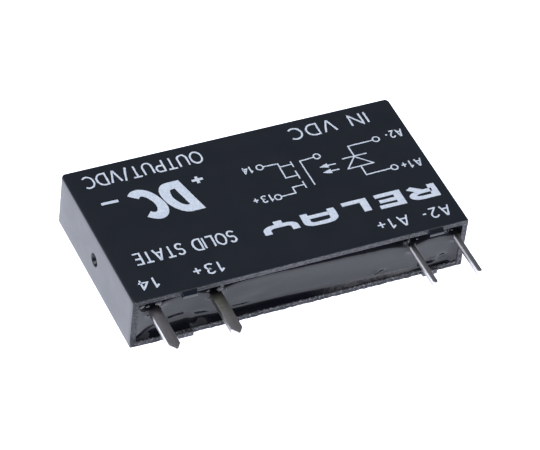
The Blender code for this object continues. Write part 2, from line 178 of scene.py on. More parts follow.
def casePlastic():
    # fine spark-eroded grain, clouded gloss, paler edges that are wear and a painted highlight, scuffed rim
    # with pale specks that are crumbs and partly painted highlight
    look = plasticLook
    f = Finish("casePlastic", Roughness=look["rough"], IOR=1.5)
    grain = f.noise(14.0, 4.0)
    cloud = f.noise(0.35, 3.0)
    dust = f.band(f.noise(5.5, 2.0, 0.7), 0.7, 0.78)
    # edges painted paler: partly wear, partly a painted highlight along the edges
    worn = f.edges(look["wearMm"]) * f.band(f.noise(1.3, 4.0), 0.2, 0.55)
    onRim = f.under(f.y, *look["rimY"])
    upperFoot = f.under(f.y, *look["footY"]) * f.band(f.z, *look["footZ"])
    stained = 1.0 - f.band(f.z, *look["cleanZ"]) * f.under(f.x, *look["cleanX"]) * 0.5
    stained = stained * (1.0 - f.under(f.x, *look["endX"]) * 0.75)
    scuffs = f.noise(4.2, 5.0, 0.75, f.stretch(0.7, 1.0, 1.6))
    lowerWall = f.under(f.z, *look["lowerWallZ"])
    rimShare = onRim * stained * (1.0 - upperFoot * 0.95) * (1.0 - lowerWall * 0.2)
    rimShare = rimShare * (0.1 + f.band(scuffs, 0.4, 0.58) * 0.9)
    speckled = f.band(f.noise(6.0, 2.0, 0.8), 0.55, 0.63)
    # pale specks on the rim, strongest along the lower wall: crumbs, and there also painted highlights
    crumbsAndGlints = onRim * (1.0 - upperFoot) * (0.25 + lowerWall * 0.75) * speckled
    colour = f.blend(cloud * 0.35, look["base"], look["cloud"])
    colour = f.blend(rimShare, colour, look["rim"])
    # paler edges: wear, and a painted edge highlight
    colour = f.blend(worn * 0.75, colour, look["edge"])
    colour = f.blend(dust * 0.2, colour, look["haze"])
    f.drive("Base Color", f.blend(crumbsAndGlints * 0.8, colour, look["crumbAndGlint"]))
    rough = look["rough"] + (cloud - 0.5) * 0.14 + (grain - 0.5) * 0.1
    f.drive("Roughness", rough + worn * 0.12 + rimShare * 0.2 - upperFoot * 0.16)
    wavy = f.bump(f.noise(0.8, 2.0), 0.006)
    scuffed = f.bump(scuffs * onRim * (1.0 - upperFoot), 0.3, wavy)
    f.drive("Normal", f.bump(grain, 0.0022, scuffed))
    return f.material


castLook = {
    "base": rgb(0.0055, 0.0062, 0.0105),
    "dust": rgb(0.06, 0.06, 0.07),
    "lap": rgb(0.085, 0.08, 0.082),     # dull skin where the resin laps over the lower wall
    "rough": 0.09,
    "lapFromX": (0.5, 4.5),             # the lap comes in between these
    "lapToX": (8.8, 10.2),              # goes out between these
    "lapZ": (1.2, 1.32),                # and reaches up to here, torn by noise
}


def castResin():
    # wet-looking black epoxy with faint ripples, pin holes, settled dust and a dull lap
    look = castLook
    f = Finish("castResin", Roughness=look["rough"], IOR=1.435)
    ripple = f.noise(0.55, 2.0, 0.5, f.stretch(0.6, 1.0, 1.3))
    fine = f.noise(6.0, 3.0)
    specks = f.band(f.noise(9.0, 1.0), 0.74, 0.79)
    matt = f.band(f.noise(1.1, 3.0), 0.56, 0.72)
    torn = f.noise(3.6, 4.0, 0.7, f.stretch(0.5, 1.0, 1.4))
    lap = f.band(f.x, *look["lapFromX"]) * f.under(f.x, *look["lapToX"])
    lap = lap * f.under(f.z + torn * 0.7, *look["lapZ"]) * (0.35 + f.band(torn, 0.4, 0.6) * 0.65)
    colour = f.blend(specks * 0.35 + matt * 0.04, look["base"], look["dust"])
    f.drive("Base Color", f.blend(lap, colour, look["lap"]))
    f.drive("Roughness", look["rough"] + matt * 0.12 + specks * 0.4 + lap * 0.45)
    f.drive("Normal", f.bump(fine, 0.0012, f.bump(ripple, 0.035)))
    return f.material


tinLook = {
    "grain": (rgb(0.39, 0.375, 0.38), rgb(0.53, 0.51, 0.51)),     # drawn lines, dark and light
    "bloom": rgb(0.3, 0.285, 0.28),         # grey bloom
    "edge": rgb(0.66, 0.65, 0.64),          # worn edges
    "cut": rgb(0.17, 0.165, 0.16),          # dull part of the cut sides, partly painted shade
    "burnishedAndHighlit": rgb(0.84, 0.84, 0.85),     # bright part of the cut sides, burnish and painted highlight; and the cut ends, a painted highlight
    "rough": 0.24,
    "wearMm": 0.05,
    "resinMm": 7.1,                         # how far out the resin stands
}


def tinPlate(name, tarnish, burnishHighlightShare=0.9, bareAndHighlitFromMm=7.0, middleMm=4.0):
    # dull tin over copper: drawn grain along the pin, grey bloom, flux stain near the resin; the cut sides
    # are burnished and painted highlight from bareAndHighlitFromMm out and above middleMm, by the share
    # sheared, else dull and painted shade; the cut ends are a painted highlight
    look = tinLook
    f = Finish(name, Roughness=0.36)
    outward = 0.0 - f.y
    drawn = f.noise(9.0, 3.0, 0.6, f.stretch(1.0, 0.06, 1.0))
    bloom = f.noise(1.5, 4.0, 0.6)
    stain = f.under(outward, look["resinMm"], bareAndHighlitFromMm + 1.6) * (0.5 + f.band(bloom, 0.35, 0.6) * 0.5)
    normal = f.node("ShaderNodeNewGeometry", output="Normal")
    facingUp = f.node("ShaderNodeSeparateXYZ", inputs=(normal,), output="Z").math("ABSOLUTE")
    facingOut = f.node("ShaderNodeSeparateXYZ", inputs=(normal,), output="Y").math("ABSOLUTE")
    # the cut sides are painted dark as dull metal and painted shade, then bright further out as burnish and
    # painted highlight
    side = f.under(facingUp, 0.35, 0.8)
    atTip = f.band(facingOut, 0.2, 0.5)
    # the bright band on the cut sides out along the pin: a burnished band and a painted highlight
    burnishAndHighlight = f.band(outward + bloom * 0.5, bareAndHighlitFromMm, bareAndHighlitFromMm + 0.5)
    burnishAndHighlight = burnishAndHighlight * (0.2 + f.band(f.z, middleMm - 0.08, middleMm + 0.02) * 0.8)
    # where the cut sides and cut ends are painted bright: burnish and painted highlight
    bareAndHighlit = side * burnishHighlightShare * burnishAndHighlight * (1.0 - atTip) * (0.75 + drawn * 0.2) + side * atTip * 0.95
    colour = f.blend(drawn * 0.5, *look["grain"])
    colour = f.blend(f.band(bloom, 0.45, 0.75) * 0.45, colour, look["bloom"])
    colour = f.blend(stain * 0.8, colour, tarnish)
    colour = f.blend(f.edges(look["wearMm"]) * 0.4, colour, look["edge"])
    colour = f.blend(side * 0.75, colour, look["cut"])
    f.drive("Base Color", f.blend(bareAndHighlit, colour, look["burnishedAndHighlit"]))
    f.drive("Metallic", 1.0 - bareAndHighlit * 0.75)
    f.drive("Roughness", look["rough"] + drawn * 0.12 + bloom * 0.08 + stain * 0.12)
    f.drive("Normal", f.bump(drawn, 0.004, f.bump(f.noise(3.0, 2.0), 0.006)))
    return f.material


def solderMetal():
    # wetted solder, grey where the flux dulled it
    look = {"bright": rgb(0.6, 0.61, 0.62), "dulled": rgb(0.3, 0.31, 0.31)}
    f = Finish("solderMetal", Metallic=0.9, Roughness=0.3)
    frost = f.noise(4.0, 4.0, 0.65)
    f.drive("Base Color", f.blend(f.band(frost, 0.35, 0.7), look["bright"], look["dulled"]))
    f.drive("Roughness", 0.2 + frost * 0.35)
    f.drive("Normal", f.bump(frost, 0.02))
    return f.material


def paintedHighlightBall():
    # grey balls under a darker mottled film, put beside the roots as a painted highlight
    look = {"ball": rgb(0.2, 0.2, 0.215), "film": rgb(0.04, 0.04, 0.045)}
    f = Finish("paintedHighlightBall", Metallic=0.35, Roughness=0.4)
    film = f.noise(5.0, 4.0, 0.65)
    f.drive("Base Color", f.blend(f.band(film, 0.4, 0.65), look["ball"], look["film"]))
    f.drive("Roughness", 0.45 + film * 0.3)
    f.drive("Normal", f.bump(film, 0.03))
    return f.material


def printInk():
    # pale pad print with a fine mottle, pores and a soft matt surface
    look = {"thin": rgb(0.62, 0.7, 0.84), "full": rgb(0.82, 0.87, 0.95), "pore": rgb(0.3, 0.34, 0.42)}
    f = Finish("printInk", Roughness=0.6)
    mottle = f.noise(7.0, 4.0, 0.7)
    pores = f.band(f.noise(16.0, 2.0, 0.6), 0.66, 0.74)
    colour = f.blend(f.band(mottle, 0.35, 0.65), look["thin"], look["full"])
    f.drive("Base Color", f.blend(pores * 0.4, colour, look["pore"]))
    f.drive("Roughness", 0.5 + mottle * 0.2)
    f.drive("Normal", f.bump(mottle, 0.004))
    return f.material


def boardLaminate():
    # green solder mask with the weave of the glass cloth under it
    look = {"mask": rgb(0.012, 0.07, 0.03), "weave": rgb(0.03, 0.13, 0.06), "weavePerMm": 1.1}
    f = Finish("boardLaminate", Roughness=0.4)
    threads = {"Vector": f.place, "Scale": look["weavePerMm"]}
    weave = (f.node("ShaderNodeTexWave", {"bands_direction": "X"}, threads)
             * f.node("ShaderNodeTexWave", {"bands_direction": "Y"}, threads))
    cloud = f.noise(0.5, 3.0)
    f.drive("Base Color", f.blend(weave * 0.5 + cloud * 0.3, look["mask"], look["weave"]))
    f.drive("Roughness", 0.34 + cloud * 0.15)
    f.drive("Normal", f.bump(weave, 0.004))
    return f.material


def mouldCompound():
    # filled black moulding compound, faintly speckled
    look = {"black": rgb(0.014, 0.014, 0.015), "filler": rgb(0.05, 0.05, 0.052)}
    f = Finish("mouldCompound", Roughness=0.55)
    fill = f.noise(11.0, 4.0, 0.7)
    f.drive("Base Color", f.blend(f.band(fill, 0.4, 0.75), look["black"], look["filler"]))
    f.drive("Roughness", 0.45 + fill * 0.25)
    f.drive("Normal", f.bump(fill, 0.006))
    return f.material


chipLook = {
    "resistor": (rgb(0.012, 0.012, 0.013), rgb(0.035, 0.035, 0.037)),
    "capacitor": (rgb(0.09, 0.05, 0.025), rgb(0.16, 0.09, 0.05)),
    "tinned": rgb(0.55, 0.54, 0.52),
    "capMm": 0.22,              # length of each tinned end
    "capBlendMm": 0.02,
}


def chipCeramic(name, ceramic, lengthAxis, centreMm, halfMm):
    # fired ceramic with tinned ends: the ends are where the place along the chip passes its middle part
    look = chipLook
    f = Finish(name, Roughness=0.45)
    along = (f.x, f.y)[lengthAxis] - centreMm
    ends = f.band(along.math("ABSOLUTE"), halfMm - look["capBlendMm"], halfMm)
    grain = f.noise(10.0, 3.0)
    colour = f.blend(f.band(grain, 0.3, 0.7), *ceramic)
    f.drive("Base Color", f.blend(ends, colour, look["tinned"]))
    f.drive("Metallic", ends * 0.9)
    f.drive("Roughness", 0.35 + grain * 0.25)
    f.drive("Normal", f.bump(grain, 0.006))
    return f.material


def sealMesh(piece, sharpDegrees):
    # join points that meet, drop faces of no area, face outwards, then smooth except at sharp edges
    work = bmesh.new()
    work.from_mesh(piece.data)
    bmesh.ops.remove_doubles(work, verts=work.verts, dist=1e-8)
    bmesh.ops.dissolve_degenerate(work, edges=work.edges, dist=1e-8)
    bmesh.ops.recalc_face_normals(work, faces=work.faces)
    work.to_mesh(piece.data)
    work.free()
    piece.data.shade_smooth()
    piece.data.set_sharp_from_angle(angle=math.radians(sharpDegrees))


def meshPiece(name, points, faces, material, sharpDegrees):
    # a new piece from an array of points and a list of faces; it rides the one body
    mesh = bpy.data.meshes.new(name)
    mesh.from_pydata((points.reshape(-1, 3) * mm).tolist(), [], faces)
    mesh.update()
    mesh.materials.append(material)
    piece = bpy.data.objects.new(name, mesh)
    bpy.context.scene.collection.objects.link(piece)
    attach(piece, "root")
    sealMesh(piece, sharpDegrees)
    return piece


def quadGrid(rows, columns, start=0, closed=False):
    # faces of a grid of points stored row by row; closed joins the last column to the first
    row = np.arange(rows - 1)[:, None] * columns
    column = np.arange(columns if closed else columns - 1)[None, :]
    after = (column + 1) % columns
    corners = np.stack([row + column, row + after, row + columns + after, row + columns + column], axis=-1)
    return (corners.reshape(-1, 4) + start).tolist()


def smoothStep(value, low, high):
    # 0 below low, 1 above high, and t * t * (3 - 2t) between
    t = np.clip((value - low) / (high - low), 0.0, 1.0)
    return t * t * (3 - 2 * t)


def softNoise(u, v, waves, seed):
    # sum of slow cosines with fixed random directions: smooth, and the same each run
    source = np.random.default_rng(seed)
    total = np.zeros(np.broadcast(u, v).shape)
    for scale in waves:
        turn, shift = source.uniform(0, 2 * math.pi, 3)[:2]
        total = total + np.cos(scale * (u * math.cos(turn) + v * math.sin(turn)) + shift)
    return total / len(waves)


caseLook = {
    "edgeMm": 0.16,                 # outer edge radius
    "cornerMm": 0.42,               # radius of the closed end's corners, seen from the marked face
    "wallMm": 0.5,
    "innerMm": 0.15,                # radius of the corners inside
    "closedEndMm": 0.6,             # thickness of the end away from the pins
    "rimMm": -7.1,                  # level of the rim; the feet stand to the lowest y of the box
    # across the rim from outside to inside: inset, and how far below the crest
    "rimProfileMm": ((0.006, 0.035), (0.02, 0.01), (0.05, 0.0), (0.15, 0.0), (0.25, 0.0), (0.35, 0.0),
                     (0.45, 0.0), (0.48, 0.01), (0.494, 0.035)),
    "raggedMm": 0.02,               # how uneven the rim is
    "raggedLowMm": 0.09,            # how much more so along the lower wall
    "proudLowMm": 0.07,             # and how far it stands out there
    "footXMm": (-9.5, 11.1),
    "footHalfMm": 0.6,
    "footFlankMm": 0.03,
    "footBevelMm": (0.25, 0.37),    # the feet of the marked wall slope back: how far in, how far down
    "gate": {"yMm": 0.2, "zMm": 2.4, "radiusMm": 0.58, "edgeMm": 0.12, "depthMm": 0.32,
             "nubYMm": 0.08, "nubSizeMm": (0.14, 0.2), "nubMm": 0.16},
    "printMm": 0.012,       # the marked face sits this much low, so that the ink ends flush with the box
}


def roundedLoop(insetMm, radiusMm, sideX, sideZ, narrowMm=None):
    # rounded rectangle inset from the outline of the case: straight runs at the given x and z, then
    # corner points centre + radius * (cos, sin), in order round the wall; narrowMm is the inset in x
    # where that differs
    halfX = halfLong - (insetMm if narrowMm is None else narrowMm)
    middle = thick / 2
    halfZ = middle - insetMm
    turns = np.radians(np.linspace(90, 0, 8))

    def corner(signX, signZ, angles):
        return np.stack([signX * (halfX - radiusMm) + radiusMm * np.cos(angles),
                         middle + signZ * (halfZ - radiusMm) + radiusMm * np.sin(angles)], axis=1)

    def run(x, z):
        return np.stack(np.broadcast_arrays(np.asarray(x, float), np.asarray(z, float)), axis=1)

    return np.concatenate([
        run(sideX, middle + halfZ), corner(1, 1, turns),
        run(halfX, sideZ[::-1]), corner(1, -1, turns - math.pi / 2),
        run(sideX[::-1], middle - halfZ), corner(-1, -1, turns - math.pi),
        run(-halfX, sideZ), corner(-1, 1, turns - 1.5 * math.pi)])


def caseShell():
    # one profile carried round the wall: flat end, rounded edge, outer wall, rim, inner wall, inner end;
    # each row of points is a rounded loop at its own inset and y, and the rim's y is a function of place
    look = caseLook
    middle = thick / 2
    reach = look["footHalfMm"]
    foot = reach + look["footFlankMm"]
    # columns every 0.2 mm and at the feet's flanks; on the ends closer together at the gate mark
    flanks = [middleX + side for middleX in look["footXMm"] for side in (-foot, -reach, reach, foot)]
    sideX = np.unique(np.round(np.append(np.linspace(-13.2, 13.2, 133), flanks), 4))
    sideZ = [np.linspace(0.72, 1.6, 6), np.linspace(1.68, 3.12, 30), np.linspace(3.2, 4.08, 6)]
    sideZ = np.concatenate(sideZ)
    outer = roundedLoop(0.0, look["edgeMm"], sideX, sideZ)
    onSide = np.abs(outer[:, 1] - middle) > middle - 1e-6
    onFoot = sum(np.abs(outer[:, 0] - middleX) < reach + 0.005 for middleX in look["footXMm"]) * onSide > 0
    rim = np.where(onFoot, caseLow.y / mm, look["rimMm"])
    uneven = 0.5 + 0.5 * softNoise(outer[:, 0] * 5, outer[:, 1] * 3, (0.5, 1.9, 3.3, 4.4), 4)
    lower = smoothStep(-outer[:, 1], -1.2, -0.2)
    ragged = uneven * (look["raggedMm"] + look["raggedLowMm"] * lower) + look["proudLowMm"] * lower
    ragged = ragged * ~onFoot
    bevelIn, bevelDown = look["footBevelMm"]
    bevelled = onFoot * (outer[:, 1] > middle)
    rows = []

    def bevel(inset):
        return bevelled * bevelDown * max(1 - inset / bevelIn, 0.0)

    def ring(inset, radius, y, narrow=None):
        flat = roundedLoop(inset, max(radius, 0.0), sideX, sideZ, narrow)
        rows.append(np.stack([flat[:, 0], np.broadcast_to(y, len(flat)), flat[:, 1]], axis=1))

    def ridge(y):
        # the end faces close on a line along the middle of the case
        spine = np.clip(outer[:, 0], middle - halfLong, halfLong - middle)
        rows.append(np.stack([spine, np.full(len(spine), y), np.full(len(spine), middle)], axis=1))

    ridge(closedEnd)
    radius, corner = look["edgeMm"], look["cornerMm"]
    for angle in np.radians(np.linspace(90, 0, 14)):
        back = corner * (1 - math.sin(angle))
        inset = radius - math.sqrt(max(radius ** 2 - max(radius - back, 0.0) ** 2, 0.0))
        ring(inset, radius - inset, closedEnd - back, corner * (1 - math.cos(angle)))
    wallY = [np.linspace(6.6, 1.1, 12), np.linspace(1.0, -0.6, 33), np.linspace(-0.9, -6.2, 11)]
    for y in np.concatenate(wallY):
        ring(0.0, radius, y)
    ring(0.0, radius, rim + 0.5)
    ring(0.0, radius, rim + 0.07 - ragged * 0.5 + bevel(0.0))
    for inset, drop in look["rimProfileMm"]:
        worn = ragged * (0.6 + 0.4 * math.sin(20 * inset))
        ring(inset, radius - inset * 0.1, rim + drop - worn + bevel(inset))
    wall, inner = look["wallMm"], look["innerMm"]
    backWall = closedEnd - look["closedEndMm"]
    ring(wall, inner, rim + 0.07)
    for y in np.linspace(-6.2, backWall - 0.2, 8):
        ring(wall, inner, y)
    for angle in np.radians(np.linspace(0, 90, 5)):
        across, up = inner * math.cos(angle), inner * math.sin(angle)
        ring(wall + inner - across, across, backWall - inner + up)
    ridge(backWall)
    points = np.stack(rows)

    # gate mark: a shallow round pit in the left end, with a bump left in its floor
    gate = look["gate"]
    y, z = points[..., 1], points[..., 2]
    pit = np.hypot(y - gate["yMm"], z - gate["zMm"])
    pit = 1 - smoothStep(pit, gate["radiusMm"] - gate["edgeMm"], gate["radiusMm"])
    nubY, nubZ = gate["nubSizeMm"]
    nub = np.exp(-(((y - gate["nubYMm"]) / nubY) ** 2 + ((z - gate["zMm"]) / nubZ) ** 2))
    onEnd = points[..., 0] < -halfLong + 1e-6
    points[..., 0] += np.where(onEnd, pit * (gate["depthMm"] - gate["nubMm"] * nub), 0.0)
    points[..., 2] *= 1 - look["printMm"] / thick
    faces = quadGrid(len(rows), len(outer), closed=True)
    shell = meshPiece("case_shell", points, faces, casePlastic(), 35)
    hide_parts("housing")
    print("case shell:", len(shell.data.polygons), "faces")


resinLook = {
    # y of the flat part of the resin at places along x; it stands a little higher round the pins
    "alongMm": (-13.5, -12.1, -10.8, -9.2, -8.3, -7.06, -5.6, -3.0, 0.0, 4.0, 7.0, 9.0, 13.5),
    "levelMm": (-6.6, -6.58, -6.5, -6.45, -6.5, -6.62, -6.56, -6.6, -6.67, -6.8, -6.92, -6.98, -6.9),
    "deepestMm": -6.3,          # the board's edge stays covered
    "lipMm": -7.07,             # how far it climbs the walls
    "insetMm": 0.504,           # its edge, just inside the walls
    # it shrank back from the marked wall: how far out, how much further by the pins, how steeply
    "gapReachMm": 0.76,
    "gapByPinsMm": 0.42,
    "gapSlope": 0.62,
    # how far out from the lower wall it climbs, and changes of that: from x, to x, by; and x, breadth, by
    "lowReachMm": 0.22,
    "lowSteps": ((-13.4, -12.0, 0.42), (1.5, 7.5, -0.36)),
    "lowHills": ((-10.1, 1.5, 0.42), (-8.95, 0.4, 0.3), (13.1, 0.45, 0.45)),
    "leftClimb": {"reachMm": 1.7, "liftMm": 0.36, "power": 1.25},
    "rightReachMm": 0.8,
    "pinClimb": {"reachMm": 0.15, "liftMm": 0.22},
    "waveMm": 0.04,             # slow waves over all of it
    # x, z, size and lift of hollows and swellings left as the resin set
    "swirls": ((-8.3, 1.65, 0.42, 0.055), (-4.8, 2.3, 0.6, 0.035), (-3.2, 1.7, 0.5, -0.03),
               (7.1, 0.95, 0.3, -0.12), (6.6, 1.15, 0.2, 0.07), (11.4, 1.1, 0.22, 0.09),
               (12.3, 1.2, 0.25, -0.07)),
    # lumps that set round each pin's root, under the marked wall
    "lumps": {"each": 5, "sizeMm": (0.16, 0.34), "spreadMm": 0.5, "zMm": (3.5, 4.1), "liftMm": (-0.1, 0.3)},
    "columns": 460,
    "rows": 96,
}


def meniscus(distance, reach):
    # (1 - distance / reach) squared: 1 at the wall, level at reach
    return np.clip(1 - distance / reach, 0, 1) ** 2


def softened(value, keen):
    # value where it is above 0 and 0 below, with the corner softened: log(1 + exp(k * value)) / k
    return np.log1p(np.exp(keen * value)) / keen


def resinSurface():
    # height field over the open side: level + menisci at the walls and pins - gap + waves + lumps
    look = resinLook
    x0, x1 = look["insetMm"] - halfLong, halfLong - look["insetMm"]
    z0, z1 = look["insetMm"], thick - look["insetMm"] - caseLook["printMm"]
    x = np.linspace(x0, x1, look["columns"])[None, :]
    z = np.linspace(z0, z1, look["rows"])[:, None]
    level = np.interp(x, look["alongMm"], look["levelMm"])
    blur = np.exp(-np.linspace(-2, 2, 41) ** 2)
    level = np.convolve(np.pad(level[0], 20, mode="edge"), blur / blur.sum(), mode="valid")[None, :]
    rise = level - look["lipMm"]
    nearPins = 0.0
    climb = 0.0
    for low, high in pinBoxes.values():
        middle, half = (low + high) / 2, (high - low) / 2
        clearX = np.maximum(np.abs(x - middle[0]) - half[0], 0)
        clearZ = np.maximum(np.abs(z - middle[2]) - half[2], 0)
        climb = climb + np.exp(-np.hypot(clearX, clearZ) / look["pinClimb"]["reachMm"])
        nearPins = nearPins + np.exp(-np.abs((x - middle[0] - 0.1) / (0.8 + half[0])) ** 1.6)
    wander = softNoise(x, 0.0, (0.55, 1.1, 2.3), 11)
    jitter = softNoise(x, 0.0, (5.0, 8.5, 13.0), 12)
    lowReach = look["lowReachMm"] + 0.1 * wander + 0.04 * jitter
    for first, last, change in look["lowSteps"]:
        lowReach = lowReach + change * smoothStep(x, first, last)
    for place, breadth, change in look["lowHills"]:
        lowReach = lowReach + change * np.exp(-((x - place) / breadth) ** 2)
    rightReach = look["rightReachMm"] + 0.15 * softNoise(0.0, z, (1.3, 2.6), 14)
    menisci = np.maximum(meniscus(z - z0, lowReach), meniscus(x1 - x, rightReach))
    left = look["leftClimb"]
    leftClimb = left["liftMm"] * np.clip(1 - (x - x0) / left["reachMm"], 0, 1) ** left["power"]
    gapReach = look["gapReachMm"] + look["gapByPinsMm"] * nearPins + 0.04 * wander + 0.02 * jitter
    gap = look["gapSlope"] * gapReach * softened(1 - (z1 - z) / gapReach, 16) * smoothStep(x - x0, 0.1, 0.9)
    height = np.maximum(rise * menisci, leftClimb) - gap
    waves = look["waveMm"] * softNoise(x * 0.6, z * 0.9, (0.8, 1.5, 2.4), 15)
    for spotX, spotZ, size, lift in look["swirls"]:
        waves = waves + lift * np.exp(-((x - spotX) ** 2 / 2.2 + (z - spotZ) ** 2) / size ** 2)
    calm = smoothStep(z - z0, 0.0, 0.8) * smoothStep(z1 - z, 0.0, 0.8)
    byPins = look["pinClimb"]["liftMm"] * climb * (1 - 0.6 * smoothStep(height, 0.1, 0.4))
    height = height + waves * calm + byPins
    source = np.random.default_rng(17)
    lumps = look["lumps"]
    for low, high in pinBoxes.values():
        for step in range(lumps["each"]):
            size = source.uniform(*lumps["sizeMm"])
            spotX = (low[0] + high[0]) / 2 + source.normal(0, lumps["spreadMm"])
            spotZ = source.uniform(*lumps["zMm"])
            lump = np.exp(-((x - spotX) ** 2 + (z - spotZ) ** 2) / size ** 2)
            height = height + source.uniform(*lumps["liftMm"]) * lump
    y = level - np.minimum(height, rise + 0.02)
    y = look["deepestMm"] - softened(look["deepestMm"] - y, 40)

    # the block behind the surface: the outline of the surface goes straight back to a flat end
    rows, columns = look["rows"], look["columns"]
    flat = np.stack(np.broadcast_arrays(x, y, z), axis=-1).reshape(-1, 3)
    order = np.arange(rows * columns).reshape(rows, columns)
    loop = np.concatenate([order[0, :-1], order[:-1, -1], order[-1, :0:-1], order[:0:-1, 0]])
    backs = [flat[loop] * (1, 0, 1) + (0, depth, 0) for depth in (-6.2, 0.0, resinHigh.y / mm)]
    faces = quadGrid(rows, columns)
    rings = [loop] + [rows * columns + number * len(loop) + np.arange(len(loop)) for number in range(3)]
    for near, far in zip(rings[:-1], rings[1:]):
        faces += np.stack([near, far, np.roll(far, -1), np.roll(near, -1)], axis=-1).tolist()
    faces.append(rings[-1].tolist())
    block = meshPiece("potting_surface", np.concatenate([flat] + backs), faces, castResin(), 50)
    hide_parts("potting_compound")
    print("resin:", len(block.data.polygons), "faces")


# tipMm and flatMm: length of the point and width of its end; cornerMm: edge radius; tarnish: stain near
# the resin; sheared: how much of the cut sides is burnished and painted highlight; bareAndHighlitFromMm:
# from how far out
widePin = {"tipMm": 0.5, "flatMm": 0.16, "cornerMm": 0.04}
narrowPin = {"tipMm": 0.12, "flatMm": 0.2, "cornerMm": 0.035, "tarnish": rgb(0.22, 0.21, 0.2),
             "burnishHighlightShare": 1.0, "bareAndHighlitFromMm": 7.0}
pinLook = {
    "pin_14": {**widePin, "tarnish": rgb(0.32, 0.285, 0.305), "burnishHighlightShare": 1.0, "bareAndHighlitFromMm": 7.7},
    "pin_13_plus": {**widePin, "tarnish": rgb(0.15, 0.155, 0.09), "burnishHighlightShare": 0.3, "bareAndHighlitFromMm": 9.0},
    "pin_a1_plus": narrowPin,
    "pin_a2_minus": narrowPin,
    "waveMm": 0.004,            # how far the cut sides wander
}


def pinBlade(name):
    # outline seen from the marked face, carried down the thickness: each row is the outline moved in
    # along its mitres, and the rows turn a quarter circle at both faces; the faces close on a line
    look = pinLook[name]
    low, high = pinBoxes[name]
    middle, half = (low + high) / 2, (high - low) / 2
    shoulder = low[1] + look["tipMm"]
    runY = np.linspace(high[1], shoulder, 60)
    tipY = np.linspace(shoulder, low[1], 8)[1:]
    runX = half[0] - pinLook["waveMm"] * (1 + softNoise(runY * 2.0, 0.0, (1.0, 2.3), 21))
    tipX = half[0] + (look["flatMm"] / 2 - half[0]) * (shoulder - tipY) / look["tipMm"]
    sideX, sideY = np.concatenate([runX, tipX]), np.concatenate([runY, tipY])
    outline = np.concatenate([np.stack([middle[0] - sideX, sideY], axis=1),
                              np.stack([middle[0] + sideX, sideY], axis=1)[::-1]])
    ahead = np.roll(outline, -1, axis=0) - outline
    ahead /= np.hypot(*ahead.T)[:, None]
    inward = np.stack([-ahead[:, 1], ahead[:, 0]], axis=1)
    before = np.roll(inward, 1, axis=0)
    mitre = (inward + before) / (1 + (inward * before).sum(axis=1))[:, None]
    corner = look["cornerMm"]
    spine = np.stack([np.full(len(outline), middle[0]),
                      np.clip(outline[:, 1], shoulder, high[1] - half[0])], axis=1)
    rows = [(spine, high[2])]
    rows += [(outline + mitre * corner * (1 - math.cos(turn)), high[2] - corner * (1 - math.sin(turn)))
             for turn in np.radians(np.linspace(90, 0, 5))]
    rows += [(outline + mitre * corner * (1 - math.cos(turn)), low[2] + corner * (1 - math.sin(turn)))
             for turn in np.radians(np.linspace(0, 90, 5))]
    rows.append((spine, low[2]))
    points = np.stack([np.column_stack([flat, np.full(len(flat), level)]) for flat, level in rows])
    faces = quadGrid(len(rows), len(outline), closed=True)
    metal = tinPlate("tin_" + name, look["tarnish"], look["burnishHighlightShare"], look["bareAndHighlitFromMm"], middle[2])
    blade = meshPiece(name + "_blade", points, faces, metal, 30)
    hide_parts(name)


# The print is laid out in reading coordinates: u runs left to right in the words and v up. The words
# read along -X with their tops towards the pins, so x = -u and y = -v.

def arc(centreU, centreV, radiusU, radiusV, first, last, count=18):
    angle = np.radians(np.linspace(first, last, count))
    return np.stack([centreU + radiusU * np.cos(angle), centreV + radiusV * np.sin(angle)], axis=1)


def line(*corners):
    return np.array(corners, float)


def joined(*parts):
    return np.concatenate(parts)


